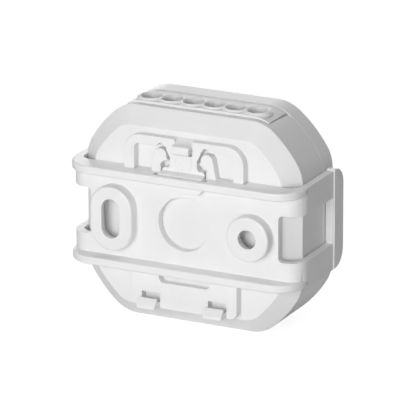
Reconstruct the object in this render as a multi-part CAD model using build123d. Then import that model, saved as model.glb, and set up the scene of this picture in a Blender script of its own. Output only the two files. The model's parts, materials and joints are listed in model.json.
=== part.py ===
from build123d import *
import os

# A flush-mount smart relay module held in its clip-on bracket. Millimetres, +Z up.
# The pieces are built round the middle of the module: X = 0 and Z = 0 are its middle and
# Y = 0 is the front plane of the bracket's band, which faces -Y. place() then moves the
# origin to the middle of the whole object's footprint, at its lowest level.

# Module housing: a disc cut by four flats, with a bevelled front edge
body_half_width = 25.75
body_half_height = 23.75
body_corner_cut = 6.18
body_corner = 8.5
body_depth = 18.8
body_wall = 1.6
bevel_width = 3.6
bevel_depth = 3.3
base_depth = 13.55
seam_chamfer = 0.15
lid_edge_radius = 0.6
lid_rise = 0.7
skirt_wall = 0.8
skirt_depth = 1.2
fit_gap = 0.1
over = 1.0

# Bracket: a band across the front with two arms a side, and ears that hook the lid
band_wall = 1.8
side_wall = 1.75
band_half_height = 11.13
band_corner = 4.0
lip_reach = 3.5
lip_thickness = 1.8
lip_corner = 6.4
lip_edge = 0.45
window_start = 22.47
window_half_height = 5.2
window_back = 16.5
window_corner = 1.0
ear_start = 16.8
ear_depth = 4.7
ear_step = 0.3
ear_rise = 0.37
ear_corner = 4.1
ear_edge = 0.4
hook_reach = 0.9
hook_half_height = 6.5

# Fixing points on the band
boss_spread = 16.3
boss_height = -0.25
boss_reach = 2.7
boss_edge = 0.5
boss_wall = 1.4
slot_boss_radius = 5.05
slot_boss_length = 14.5
slot_width = 4.3
slot_length = 8.8
round_boss_radius = 5.0
round_hole_radius = 2.1
window_hole_radius = 6.0

# Lower tab with two claws for the rail's lower edge
tab_half_width = 12.66
tab_bottom = 19.83
tab_corner = 1.7
tab_slot_half_width = 6.0
tab_slot_bottom = 13.9
tab_slot_corner = 1.0
claw_inner = 5.78
claw_outer = 10.16
claw_window_top = 16.43
claw_floor = 18.3
claw_tip = 17.35
claw_bottom = 19.5
claw_reach = 2.7
claw_foot = 0.6
claw_tip_thickness = 0.35
rail_gap = 1.15
mark_radius = 2.1
mark_depth = 0.06
tab_mark_height = 16.0
latch_mark_height = 13.6
latch_mark_radius = 1.9

# Spring fingers beside the latch, one outline for both sides
finger_root = 11.0
finger_root_inner = 5.4
finger_root_outer = 7.75
finger_shoulder_x = 7.0
finger_shoulder_drop = 1.47
finger_top_x = 5.6
finger_crown = 1.75
finger_flank_x = 4.12
finger_beak = 0.74
finger_tip_x = 3.7
finger_beak_slope = 0.25
finger_notch_x = 4.85
finger_stop_gap = 0.38
finger_pocket_x = 5.57
finger_pocket = 0.78
finger_lead = 0.7
finger_room = 0.43

# Rail latch: an arch with a hook at its top and a tongue through the upper lip
latch_half_width = 14.25
latch_bar_height = 2.05
latch_corner = 4.0
latch_foot = 9.6
leg_inner = 11.8
leg_corner = 1.0
notch_depth = 0.75
notch_outer = 6.5
notch_inner = 5.2
tongue_top_half = 4.1
tongue_top_drop = 0.55
waist_half = 3.2
waist_length = 1.4
waist_rise = 0.8
shoulder_half = 5.05
shoulder_top = 12.4
shoulder_corner = 0.7
tongue_reach = 1.75
tongue_slope_top = 11.7
tongue_slope_bottom = 11.35
tongue_flare_half = 5.9
tongue_flare_z = 9.3
tongue_end_half = 4.2
tongue_end_z = 7.55
tongue_slot_gap = 0.35
latch_gap = 0.15
latch_travel = 0.9
rail_hook_half_width = 2.1
rail_hook_reach = 1.9
rail_hook_inner = 1.1
rail_hook_lip = 0.9
rail_hook_height = 0.95
rail_hook_round = 0.6
rail_hook_window_drop = 1.55
rail_width = 35.0
rail_play = 0.3

# Terminal block: six clamps in a row under the top edge
terminal_count = 6
terminal_pitch = 5.08
block_half_width = 17.0
block_drop = 11.15
strip_front = 6.9
strip_rise = 0.5
wire_depth = 10.2
wire_mouth_radius = 2.1
wire_throat_radius = 1.4
wire_mouth_length = 1.4
wire_flare = 0.3
wire_flare_depth = 0.5
rim_width = 0.6
rim_foot = 0.35
rim_height = 0.4
cage_width = 4.1
cage_length = 5.0
cage_side = 0.5
cage_floor = 0.7
cage_roof = 1.0
cage_opening = 3.6
cage_front = 8.1
clamp_drop = 6.25
clamp_travel = 2.4
screw_radius = 1.25
screw_head_radius = 1.8
screw_head_length = 1.2
screw_slot_width = 0.5
screw_slot_depth = 0.6
screw_access_radius = 1.6
screw_shelf = 0.4
thread_gap = 0.05
contact_width = 2.6
contact_thickness = 0.7
pin_width = 0.9
pin_drop = 4.1

# Circuit board and the posts that carry it
board_thickness = 1.6
board_gap = 0.3
post_height = 2.0
post_radius = 2.0
post_pin_radius = 0.75
post_hole_gap = 0.1
post_spread = 18.5
post_drop = 13.0
post_rise = 8.0
lead_radius = 0.4
lead_gap = 0.05
lead_length = 2.4

# Relay, lying on the board with its contacts at the right-hand end
relay_x = -9.5
relay_z = 0.0
relay_length = 20.2
relay_width = 12.6
relay_height = 10.4
relay_wall = 0.6
relay_base_thickness = 1.5
core_radius = 1.5
core_height = 5.0
core_length = 11.2
flange_size = 6.8
flange_thickness = 0.6
bobbin_wall = 0.5
winding_radius = 3.1
yoke_thickness = 1.0
yoke_gap = 0.25
yoke_width = 9.0
armature_gap = 0.35
armature_thickness = 0.9
armature_arm = 4.6
contact_gap = 0.25
contact_radius = 0.9
contact_height = 0.5
blade_thickness = 0.3
blade_width = 4.0

# Power supply and radio pieces on the board
input_capacitor_size = (8.0, 9.6)
output_capacitor_size = (6.3, 9.0)
inductor_size = (7.6, 7.0)
inductor_waist = 3.6
inductor_rim = 1.0
film_capacitor_size = (9.0, 8.5, 4.6)
varistor_size = (7.0, 3.4)
fuse_resistor_size = (3.6, 9.0)
bridge_size = (5.0, 2.5, 4.4)
chip_size = (5.0, 1.5, 4.0)
radio_board_size = (12.0, 0.8, 16.0)
shield_size = (10.0, 1.8, 11.0)
input_capacitor_at = (-14.0, -13.0)
output_capacitor_at = (4.2, -14.5)
inductor_at = (-4.6, -14.5)
film_capacitor_at = (12.6, -16.6)
varistor_at = (11.4, -11.6)
fuse_resistor_at = (-12.0, 9.6)
bridge_at = (-2.6, 9.6)
chip_at = (4.4, 10.4)
radio_board_at = (8.6, 0.0)
shield_rise = 1.5

# Pairing button in the lid, with its switch, and the status light
button_at = (19.0, -7.0)
button_radius = 2.8
button_gap = 0.1
button_recess = 0.2
button_flange_radius = 3.5
button_flange = 0.7
button_stem_radius = 1.5
button_travel = 0.3
switch_size = (6.0, 3.5, 6.0)
plunger_radius = 1.7
plunger_rise = 1.5
plunger_depth = 0.8
plunger_gap = 0.1
light_at = (19.0, 3.0)
light_radius = 1.0
light_gap = 0.05
light_collar_radius = 1.7
light_collar = 1.0
led_size = (1.6, 0.6, 0.8)

# The circle that cuts the housing's corners follows on its flats
body_radius = (body_half_width**2 + body_half_height**2) ** 0.5 - body_corner_cut

# Depths that follow, counted from the band's front plane towards the back
body_front = band_wall + fit_gap
body_back = body_front + body_depth
seam = body_front + base_depth
band_half_width = body_half_width + fit_gap + side_wall
ear_back = ear_start + ear_depth
ear_half_width = band_half_width + ear_step
board_front = body_front + body_wall + post_height
board_back = board_front + board_thickness
bevel_left = body_front + body_wall + bevel_depth - board_front
board_inset = body_wall + bevel_width * bevel_left / bevel_depth + board_gap
lid_inside = body_back - body_wall
cage_back = cage_front + cage_floor + cage_opening + cage_roof
cavity_back = cage_back + clamp_travel + fit_gap
head_front = cavity_back + screw_shelf + thread_gap
contact_back = cage_front + cage_floor + cage_opening - fit_gap
contact_front = contact_back - contact_thickness
block_back = lid_inside - fit_gap
strip_back = seam - fit_gap
relay_floor = board_back + relay_base_thickness
relay_axis = board_back + core_height

# Heights that follow in the terminal block, counted from the housing's top
block_top = body_half_height - body_wall - fit_gap
block_bottom = body_half_height - block_drop
strip_top = body_half_height + strip_rise
rim_top = strip_top + rim_height
clamp_height = body_half_height - clamp_drop
pin_height = clamp_height - pin_drop

# Heights that follow on the fingers, the latch and its hook
finger_notch_z = shoulder_top + latch_travel + finger_stop_gap
finger_tip_z = finger_notch_z + finger_beak_slope
finger_flank_z = finger_tip_z + finger_beak
finger_top_z = finger_flank_z + finger_crown
finger_shoulder_z = finger_top_z - finger_shoulder_drop
finger_pocket_z = finger_notch_z - finger_pocket
waist_bottom = shoulder_top + waist_rise
waist_top = waist_bottom + waist_length
bar_bottom = finger_top_z + finger_room
notch_top = bar_bottom + notch_depth
tongue_top_z = bar_bottom - tongue_top_drop
latch_top = bar_bottom + latch_bar_height
rail_hook_ceiling = rail_width + rail_play - claw_floor
rail_hook_bottom = rail_hook_ceiling - rail_hook_lip
rail_hook_top = rail_hook_ceiling + rail_hook_height
rail_hook_window = rail_hook_ceiling - rail_hook_window_drop


def span(x_range, y_range, z_range):
    """A box between two values on each axis."""
    ranges = (x_range, y_range, z_range)
    middle = [(low + high) / 2 for low, high in ranges]
    return Pos(*middle) * Box(*[high - low for low, high in ranges])


def even(half):
    """The range from minus half to plus half."""
    return (-half, half)


def around(middle, size):
    """The range of a size about its middle."""
    return (middle - size / 2, middle + size / 2)


def rod_y(x, z, radius, front, back):
    """A round rod along Y."""
    return Pos(x, (front + back) / 2, z) * Rot(90, 0, 0) * Cylinder(radius, back - front)


def rod_x(y, z, radius, left, right):
    """A round rod along X."""
    return Pos((left + right) / 2, y, z) * Rot(0, 90, 0) * Cylinder(radius, right - left)


def rod_z(x, y, radius, bottom, top):
    """A round rod along Z."""
    return Pos(x, y, (bottom + top) / 2) * Cylinder(radius, top - bottom)


def plate(outline, front, back):
    """An outline drawn in X and Z, as a plate between two depths."""
    plane = Plane(origin=(0, back, 0), x_dir=(1, 0, 0), z_dir=(0, -1, 0))
    return extrude(plane * outline, amount=back - front)


def shelf(outline, bottom, top):
    """An outline drawn in X and Y, as a shelf between two heights."""
    return extrude(Plane.XY.offset(bottom) * outline, amount=top - bottom)


def bar(outline, left, right):
    """A section drawn in Y and Z, as a bar between two places along X."""
    return extrude(Plane.YZ.offset(left) * outline, amount=right - left)


def rectangle(first_range, second_range):
    """A rectangle between two values on each axis."""
    middle = [(low + high) / 2 for low, high in (first_range, second_range)]
    size = [high - low for low, high in (first_range, second_range)]
    return Pos(*middle) * Rectangle(*size)


def rounded(outline, radius, chosen):
    """An outline with the corners that a test picks rounded off."""
    return fillet([v for v in outline.vertices() if chosen(v.X, v.Y)], radius)


def shape(*points):
    """A face with straight sides through the points."""
    return make_face(Polyline(*points, close=True))


def mirrored(solid):
    """The same solid on the other side of X = 0."""
    return mirror(solid, about=Plane.YZ)


def body_outline(inset, rise=0):
    """The housing's outline, moved inwards: a circle cut by four flats, the upper one raised."""
    height = (inset - body_half_height, body_half_height + rise - inset)
    outline = Circle(body_radius - inset) & rectangle(even(body_half_width - inset), height)
    return fillet(outline.vertices(), body_corner - inset)


def body_block(inset, front, back):
    """A solid block in the housing's form, with the bevel at its front."""
    bevel_end = front + bevel_depth
    face = Plane(origin=(0, front, 0), x_dir=(1, 0, 0), z_dir=(0, -1, 0))
    rim = Plane(origin=(0, bevel_end, 0), x_dir=(1, 0, 0), z_dir=(0, -1, 0))
    bevel = loft([rim * body_outline(inset), face * body_outline(inset + bevel_width)], ruled=True)
    return bevel + plate(body_outline(inset), bevel_end, back)


def terminal_places():
    """The places of the six terminals along X."""
    first = -terminal_pitch * (terminal_count - 1) / 2
    return [first + terminal_pitch * index for index in range(terminal_count)]


def post_places():
    """The four posts that carry the board, in X and Z."""
    lower = [(side * post_spread, -post_drop) for side in (-1, 1)]
    upper = [(side * (post_spread + post_radius), post_rise) for side in (-1, 1)]
    return lower + upper


def lead_pair(at, spread):
    """Two leads on either side of a place."""
    return [(at[0] - spread, at[1]), (at[0] + spread, at[1])]


def leads(places):
    """Solder leads that go from the board's back face through the board."""
    return [rod_y(x, z, lead_radius, board_back - lead_length, board_back) for x, z in places]


def joined(solids):
    """Several solids fused into one."""
    result = solids[0]
    for solid in solids[1:]:
        result = result + solid
    return result


# Leads of each piece on the board
input_capacitor_leads = lead_pair(input_capacitor_at, input_capacitor_size[0] / 4)
output_capacitor_leads = lead_pair(output_capacitor_at, output_capacitor_size[0] / 4)
inductor_leads = lead_pair(inductor_at, inductor_size[0] / 3)
film_capacitor_leads = lead_pair(film_capacitor_at, film_capacitor_size[0] * 3 / 8)
varistor_leads = lead_pair(varistor_at, varistor_size[0] * 3 / 8)
fuse_resistor_leads = lead_pair(fuse_resistor_at, fuse_resistor_size[1] * 5 / 8)
switch_leads = lead_pair(button_at, switch_size[0] * 3 / 8)
relay_left = relay_x - relay_length / 2
relay_right = relay_x + relay_length / 2
coil_lead_x = relay_left + 2 * relay_wall + lead_radius
relay_coil_leads = [(coil_lead_x, relay_z + side * yoke_width / 2) for side in (-1, 1)]
relay_contact_leads = [(relay_right - 3 * relay_wall, relay_z)]
all_leads = (
    input_capacitor_leads
    + output_capacitor_leads
    + inductor_leads
    + film_capacitor_leads
    + varistor_leads
    + fuse_resistor_leads
    + switch_leads
    + relay_coil_leads
    + relay_contact_leads
)


def base_shell():
    """The front half of the housing, open at the back, with the slot for the terminal strip."""
    shell = body_block(0, body_front, seam) - body_block(body_wall, body_front + body_wall, seam + over)
    rim = shell.faces().sort_by(Axis.Y)[-1].outer_wire().edges()
    shell = chamfer(rim, seam_chamfer)
    strip_half = block_half_width + fit_gap
    slot_z = (block_top - 2 * over, body_radius)
    shell -= span(even(strip_half), (strip_front - fit_gap, seam + over), slot_z)
    for x, z in post_places():
        shell += rod_y(x, z, post_radius, body_front + body_wall, board_front)
        shell += rod_y(x, z, post_pin_radius, board_front, board_back)
    return shell


def lid():
    """The back half of the housing, with the screw wells, the button hole and the light hole."""
    shell = plate(body_outline(0, lid_rise), seam, body_back)
    edges = shell.faces().sort_by(Axis.Y)[-1].outer_wire().edges()
    shell = fillet(edges, lid_edge_radius)
    shell = chamfer(shell.faces().sort_by(Axis.Y)[0].outer_wire().edges(), seam_chamfer)
    shell -= plate(body_outline(body_wall), seam - over, lid_inside)
    inset = body_wall + fit_gap
    skirt = plate(body_outline(inset), seam - skirt_depth, lid_inside)
    skirt -= plate(body_outline(inset + skirt_wall), seam - skirt_depth - over, lid_inside + over)
    root = plate(body_outline(body_wall), seam, seam + skirt_depth)
    root -= plate(body_outline(inset + skirt_wall), seam - over, seam + skirt_depth + over)
    strip_half = block_half_width + 2 * fit_gap
    skirt_y = (seam - skirt_depth - over, lid_inside)
    shell += skirt + root - span(even(strip_half), skirt_y, (block_bottom, body_radius))
    for x in terminal_places():
        shell -= rod_y(x, clamp_height, screw_access_radius, lid_inside - over, body_back + over)
    shell -= rod_y(*button_at, button_radius + button_gap, lid_inside - over, body_back + over)
    shell -= rod_y(*light_at, light_radius + light_gap, lid_inside - over, body_back + over)
    return shell


def band():
    """The front plate with its two side walls, before anything is cut or added."""
    depth = (0, ear_start + ear_step)
    outer = rounded(rectangle(even(band_half_width), depth), band_corner, lambda x, y: y < band_corner)
    walls = shelf(outer, -band_half_height, band_half_height)
    return walls


def inner_space():
    """The room inside the band that the module fills."""
    half = body_half_width + fit_gap
    corner = band_corner - side_wall
    space = rectangle(even(half), (band_wall, ear_back + over))
    space = rounded(space, corner, lambda x, y: y < band_wall + corner)
    return shelf(space, -tab_bottom - over, tab_bottom + over)


def lip(bottom):
    """A shelf across the band that reaches into the rail's hollow."""
    back = lip_corner - lip_reach + over
    outline = rounded(rectangle(even(band_half_width), (-lip_reach, back)), lip_corner, lambda x, y: y < 0)
    solid = shelf(outline, bottom, bottom + lip_thickness)
    front = [e for e in solid.edges() if abs(e.center().Z - bottom - lip_thickness / 2) > lip_thickness / 4]
    front = [e for e in front if e.center().Y < back - over]
    return fillet(front, lip_edge)


def ears():
    """The two rounded ears with the hooks that hold the lid."""
    inside = body_half_width + fit_gap
    outline = rectangle((ear_start, ear_back), (-band_half_height, band_half_height + ear_rise))
    outline = rounded(outline, ear_corner, lambda x, y: x > ear_start + ear_step)
    ear = bar(outline, inside, ear_half_width)
    outer = [e for e in ear.faces().sort_by(Axis.X)[-1].edges() if e.center().Y > ear_start + ear_edge]
    ear = fillet(outer, ear_edge)
    hook_front = body_back + fit_gap
    hook = shape(
        (inside - hook_reach, hook_front),
        (inside + side_wall / 2, hook_front),
        (inside + side_wall / 2, ear_back),
        (inside - hook_reach / 3, ear_back),
    )
    ear += shelf(hook, -hook_half_height, hook_half_height)
    return [ear, mirrored(ear)]


def slot_boss():
    """The long boss, without its slot."""
    straight = slot_boss_length - 2 * slot_boss_radius
    outline = SlotCenterToCenter(straight, 2 * slot_boss_radius, rotation=90)
    boss = plate(Pos(-boss_spread, boss_height) * outline, -boss_reach, band_wall / 2)
    return fillet(boss.faces().sort_by(Axis.Y)[0].edges(), boss_edge)


def round_boss():
    """The round boss, without its hole."""
    boss = rod_y(boss_spread, boss_height, round_boss_radius, -boss_reach, band_wall / 2)
    return fillet(boss.faces().sort_by(Axis.Y)[0].edges(), boss_edge)


def finger():
    """The right-hand spring finger, curled in over the latch's waist."""
    outer = Line((finger_root_outer, finger_root), (finger_shoulder_x, finger_shoulder_z))
    crown = ThreePointArc(
        (finger_shoulder_x, finger_shoulder_z), (finger_top_x, finger_top_z), (finger_flank_x, finger_flank_z)
    )
    beak = Polyline(
        (finger_flank_x, finger_flank_z),
        (finger_tip_x, finger_tip_z),
        (finger_notch_x, finger_notch_z),
        (finger_pocket_x, finger_pocket_z),
        (finger_root_inner, finger_pocket_z - finger_lead),
        (finger_root_inner, finger_root),
        (finger_root_outer, finger_root),
    )
    return plate(make_face([outer, crown, beak]), 0, band_wall)


def lower_tab():
    """The tab under the band, with its slot and the windows over the claws."""
    outline = rectangle(even(tab_half_width), (-tab_bottom, -band_half_height + lip_thickness))
    outline = rounded(outline, tab_corner, lambda x, y: y < -band_half_height)
    slot = rectangle(even(tab_slot_half_width), (-tab_slot_bottom, -band_half_height))
    outline -= rounded(slot, tab_slot_corner, lambda x, y: y < -band_half_height - tab_slot_corner)
    for side in (-1, 1):
        middle = side * (claw_inner + claw_outer) / 2
        outline -= rectangle(around(middle, claw_outer - claw_inner), (-claw_floor, -claw_window_top))
    tab = plate(outline, 0, band_wall)
    return tab - rod_y(0, -tab_mark_height, mark_radius, -over, mark_depth)


def claw():
    """The right-hand claw, which takes the rail's lower edge from above."""
    section = shape(
        (band_wall, -claw_bottom),
        (-claw_reach, -claw_bottom),
        (-claw_reach, -claw_bottom + claw_foot),
        (-rail_gap - claw_tip_thickness, -claw_tip),
        (-rail_gap, -claw_tip),
        (-rail_gap, -claw_floor),
        (band_wall, -claw_floor),
    )
    return bar(section, claw_inner, claw_outer)


def side_window():
    """The window that wraps the right-hand corner of the band."""
    far = ear_half_width + over
    height = even(window_half_height)
    front = rounded(
        rectangle((window_start, far), height), window_corner, lambda x, y: x < window_start + over
    )
    side = rectangle((-over, window_back), height)
    return plate(front, -over, band_corner) + bar(side, body_half_width - band_wall, far)


def mounting_bracket():
    """The whole bracket as one moulding."""
    solid = band() + lip(band_half_height - lip_thickness) + lip(-band_half_height)
    solid += lower_tab()
    solid -= inner_space()
    solid = joined([solid, *ears(), claw(), mirrored(claw()), finger(), mirrored(finger())])
    solid = joined([solid, slot_boss(), round_boss()])
    solid -= plate(
        Pos(-boss_spread, boss_height) * SlotOverall(slot_length, slot_width, rotation=90),
        -boss_reach - over,
        band_wall + over,
    )
    solid -= rod_y(boss_spread, boss_height, round_hole_radius, -boss_reach - over, band_wall + over)
    hollow = (-boss_reach + boss_wall, band_wall + over)
    hollow_size = (slot_boss_length - 2 * boss_wall, 2 * (slot_boss_radius - boss_wall))
    solid -= plate(Pos(-boss_spread, boss_height) * SlotOverall(*hollow_size, rotation=90), *hollow)
    solid -= rod_y(boss_spread, boss_height, round_boss_radius - boss_wall, *hollow)
    solid -= rod_y(0, 0, window_hole_radius, -over, band_wall + over)
    solid -= joined([side_window(), mirrored(side_window())])
    tongue_half = tongue_flare_half + tongue_slot_gap
    slot_depth = (-tongue_reach - tongue_slot_gap, 0)
    lip_range = (band_half_height - lip_thickness - over / 2, band_half_height + over)
    solid -= span(even(tongue_half), slot_depth, lip_range)
    for side in (-1, 1):
        leg_middle = side * (leg_inner + latch_half_width) / 2
        leg_slot = around(leg_middle, latch_half_width - leg_inner + 2 * latch_gap)
        solid -= span(leg_slot, (0, band_wall + over), (latch_foot - latch_gap, band_half_height + over))
    return solid


def latch_arch():
    """The arch with its two legs."""
    outline = rectangle(even(latch_half_width), (latch_foot, latch_top))
    outline = rounded(outline, latch_corner, lambda x, y: y > bar_bottom)
    opening = rectangle(even(leg_inner), (latch_foot - over, bar_bottom))
    outline -= rounded(opening, leg_corner, lambda x, y: y > latch_foot)
    notch = shape(
        (notch_outer, bar_bottom - over),
        (notch_outer, bar_bottom),
        (notch_inner + leg_corner / 2, notch_top),
        (notch_inner - leg_corner / 2, notch_top),
        (tongue_top_half, bar_bottom - over),
    )
    outline -= notch
    outline -= mirror(notch, about=Plane.YZ)
    return plate(outline, 0, band_wall)


def latch_tongue():
    """The tongue down to the lip: a waist for the fingers, then rounded shoulders."""
    low = band_half_height + latch_gap
    half = [
        (tongue_top_half, bar_bottom),
        (tongue_top_half, tongue_top_z),
        (waist_half, waist_top),
        (waist_half, waist_bottom),
        (waist_half + shoulder_corner / 2, shoulder_top),
        (shoulder_half, shoulder_top),
        (shoulder_half, low),
    ]
    outline = shape((0, low), (0, bar_bottom), *half)
    outline = rounded(
        outline, shoulder_corner, lambda x, y: x > shoulder_half - fit_gap and y > low + fit_gap
    )
    outline += mirror(outline, about=Plane.YZ)
    return plate(outline, 0, band_wall)


def latch_tail():
    """The tongue's lower end, which steps forward and runs down through the lip."""
    low = band_half_height + latch_gap
    section = shape(
        (0, tongue_slope_top),
        (-tongue_reach, tongue_slope_bottom),
        (-tongue_reach, tongue_end_z),
        (-latch_gap, tongue_end_z),
        (-latch_gap, low),
        (band_wall / 2, low),
        (band_wall / 2, tongue_slope_top),
    )
    half = shape(
        (0, tongue_end_z),
        (tongue_end_half, tongue_end_z),
        (tongue_flare_half, tongue_flare_z),
        (shoulder_half, tongue_slope_top),
        (0, tongue_slope_top),
    )
    outline = half + mirror(half, about=Plane.YZ)
    front = plate(outline, -tongue_reach - over, band_wall)
    return front & bar(section, -tongue_flare_half, tongue_flare_half)


def rail_hook():
    """The hook at the top of the arch, rounded in front, and its cut-outs."""
    front = shape(
        (band_wall, rail_hook_ceiling),
        (0, rail_hook_ceiling),
        (-rail_hook_inner, rail_hook_ceiling),
        (-rail_hook_inner, rail_hook_bottom),
        (-rail_hook_reach, rail_hook_bottom),
        (-rail_hook_reach, rail_hook_top),
        (0, rail_hook_top),
        (band_wall, latch_top),
    )
    outer = -rail_hook_reach + fit_gap
    front = rounded(front, rail_hook_round / 2, lambda x, y: x < outer and y < rail_hook_ceiling)
    front = rounded(front, rail_hook_round, lambda x, y: x < outer and y > rail_hook_ceiling)
    return bar(front, -rail_hook_half_width, rail_hook_half_width)


def rail_latch():
    """The sliding latch: it is pushed up to free the rail's upper edge."""
    solid = latch_arch() + latch_tongue()
    width = even(rail_hook_half_width)
    solid -= span(width, (-over, band_wall + over), (rail_hook_window, latch_top + over))
    solid += latch_tail()
    solid += rail_hook()
    return solid - rod_y(0, latch_mark_height, latch_mark_radius, -over, mark_depth)


def terminal_block():
    """The insulating block: strip with six coned rims, wire funnels, clamp rooms and screw wells."""
    half = even(block_half_width)
    solid = span(half, (board_back, block_back), (block_bottom, block_top))
    solid = solid & plate(body_outline(body_wall + fit_gap), board_back, block_back)
    strip = span(half, (strip_front, strip_back), (block_top - over, body_radius))
    solid += strip & plate(body_outline(0, strip_rise), body_front, body_back)
    room_half = cage_width / 2 + fit_gap
    room_z = around(clamp_height, cage_length + 2 * fit_gap)
    tail_z = (pin_height - thread_gap, room_z[0] + fit_gap)
    rim_radius = wire_mouth_radius + rim_width
    for x in terminal_places():
        solid += Pos(x, wire_depth, strip_top) * Cone(rim_radius + 2 * rim_foot, rim_radius, 2 * rim_height)
    for x in terminal_places():
        throat_top = rim_top - wire_flare_depth - wire_mouth_length
        flare = Cone(wire_mouth_radius, wire_mouth_radius + wire_flare, wire_flare_depth)
        solid -= Pos(x, wire_depth, rim_top - wire_flare_depth / 2) * flare
        solid -= rod_z(x, wire_depth, wire_mouth_radius, throat_top, rim_top)
        funnel = (throat_top - room_z[1]) / 2
        cone = Cone(wire_throat_radius, wire_mouth_radius, funnel)
        solid -= Pos(x, wire_depth, throat_top - funnel / 2) * cone
        solid -= rod_z(x, wire_depth, wire_throat_radius, room_z[0], throat_top - funnel)
        solid -= span(around(x, 2 * room_half), (cage_front - fit_gap, cavity_back), room_z)
        solid -= rod_y(x, clamp_height, screw_radius + thread_gap, contact_back, block_back)
        well_front = cavity_back + screw_shelf
        solid -= rod_y(x, clamp_height, screw_head_radius + fit_gap, well_front, block_back + over)
        tail_x = around(x, contact_width + 2 * thread_gap)
        solid -= span(tail_x, (contact_front - thread_gap, contact_back + thread_gap), tail_z)
        pin_z = (pin_height - thread_gap, pin_height + contact_thickness + thread_gap)
        solid -= span(around(x, pin_width + 2 * thread_gap), (board_back - over, contact_back), pin_z)
    return solid


def terminal_cage(x):
    """One rising clamp cage: a ring round the wire and the contact, tapped in its roof."""
    z_range = around(clamp_height, cage_length)
    ring = span(around(x, cage_width), (cage_front, cage_back), z_range)
    inner = (cage_front + cage_floor, cage_back - cage_roof)
    ring -= span(around(x, cage_width - 2 * cage_side), inner, around(clamp_height, cage_length + over))
    return ring - rod_y(x, clamp_height, screw_radius + thread_gap, inner[0] + cage_floor, cage_back + over)


def terminal_screw(x):
    """One slotted clamp screw, held in the block by its head."""
    screw = rod_y(x, clamp_height, screw_radius, contact_back + thread_gap, head_front)
    head = rod_y(x, clamp_height, screw_head_radius, head_front, head_front + screw_head_length)
    head = chamfer(head.faces().sort_by(Axis.Y)[-1].edges(), screw_slot_depth / 3)
    slot_y = (head_front + screw_head_length - screw_slot_depth, block_back)
    slot = span(around(x, 2 * screw_head_radius + over), slot_y, around(clamp_height, screw_slot_width))
    return screw + (head - slot)


def terminal_contacts():
    """The six fixed contact bars, each with a pin through the board."""
    bars = []
    for x in terminal_places():
        top = clamp_height + cage_length / 2
        contact = span(around(x, contact_width), (contact_front, contact_back), (pin_height, top))
        pin_z = (pin_height, pin_height + contact_thickness)
        pin = span(around(x, pin_width), (board_back - lead_length, contact_back), pin_z)
        bars.append(contact + pin)
    return Compound(bars)


def circuit_board():
    """The main board, drilled for the posts, the terminal pins and every lead."""
    board = plate(body_outline(board_inset), board_front, board_back)
    for x, z in post_places():
        board -= rod_y(x, z, post_pin_radius + post_hole_gap, board_front - over, board_back + over)
    for x in terminal_places():
        size = contact_thickness + 2 * lead_gap
        width = pin_width + 2 * lead_gap
        middle = pin_height + contact_thickness / 2
        board -= span(around(x, width), (board_front - over, board_back + over), around(middle, size))
    for x, z in all_leads:
        board -= rod_y(x, z, lead_radius + lead_gap, board_front - over, board_back + over)
    return board


def relay_base():
    """The relay's floor with its coil and contact leads."""
    inside = 2 * (relay_wall + lead_gap)
    length = around(relay_x, relay_length - inside)
    floor = span(length, (board_back, relay_floor), around(relay_z, relay_width - inside))
    return joined([floor, *leads(relay_coil_leads + relay_contact_leads)])


def relay_case():
    """The relay's sealed cover."""
    back = board_back + relay_height
    case = span(around(relay_x, relay_length), (board_back, back), around(relay_z, relay_width))
    case = fillet(case.faces().sort_by(Axis.Y)[-1].edges(), relay_wall)
    inner = 2 * relay_wall
    return case - span(
        around(relay_x, relay_length - inner),
        (board_back - over, back - relay_wall),
        around(relay_z, relay_width - inner),
    )


# Places inside the relay, along its length
yoke_left = relay_left + 2 * relay_wall
core_start = yoke_left + yoke_thickness
core_end = core_start + core_length
armature_left = core_end + armature_gap
yoke_front = relay_axis + flange_size / 2 + yoke_gap
yoke_back = yoke_front + yoke_thickness


def relay_core():
    """The soft-iron core along the coil."""
    return rod_x(relay_axis, relay_z, core_radius, core_start, core_end)


def relay_yoke():
    """The L-shaped yoke that carries the core and the armature's edge."""
    width = around(relay_z, yoke_width)
    upright = span((yoke_left, core_start), (relay_floor, yoke_back), width)
    top = span((core_start, armature_left - armature_gap / 2), (yoke_front, yoke_back), width)
    return upright + top


def relay_bobbin():
    """The coil former: a tube with two square flanges."""
    end = core_end - armature_gap
    inner = core_radius + lead_gap
    solid = rod_x(relay_axis, relay_z, inner + bobbin_wall, core_start, end)
    for left in (core_start, end - flange_thickness):
        flange = span(
            (left, left + flange_thickness), around(relay_axis, flange_size), around(relay_z, flange_size)
        )
        solid += flange
    return solid - rod_x(relay_axis, relay_z, inner, core_start - over, end + over)


def relay_winding():
    """The copper winding between the flanges."""
    left = core_start + flange_thickness
    right = core_end - armature_gap - flange_thickness
    tube = core_radius + lead_gap + bobbin_wall
    outer = rod_x(relay_axis, relay_z, winding_radius, left, right)
    return outer - rod_x(relay_axis, relay_z, tube, left - over, right + over)


def relay_armature():
    """The armature, hinged on the yoke's edge, with the arm that carries the moving contact."""
    width = around(relay_z, yoke_width)
    right = armature_left + armature_thickness
    face = span((armature_left, right), (relay_axis - flange_size / 2, yoke_back), width)
    arm_width = around(relay_z, blade_width)
    arm = span((right, right + armature_arm), (yoke_front, yoke_front + armature_thickness), arm_width)
    return face + arm


# The contact pair stands just inside the end of the armature's arm
contact_x = armature_left + armature_thickness + armature_arm - 2 * contact_radius
blade_front = yoke_front - blade_thickness
moving_tip = blade_front - contact_height
fixed_tip = moving_tip - contact_gap


def relay_moving_contact():
    """The leaf under the arm with its silver contact."""
    right = armature_left + armature_thickness
    length = (right + contact_radius, right + armature_arm)
    leaf = span(length, (blade_front, yoke_front), around(relay_z, blade_width))
    return leaf + rod_y(contact_x, relay_z, contact_radius, moving_tip, blade_front)


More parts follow.
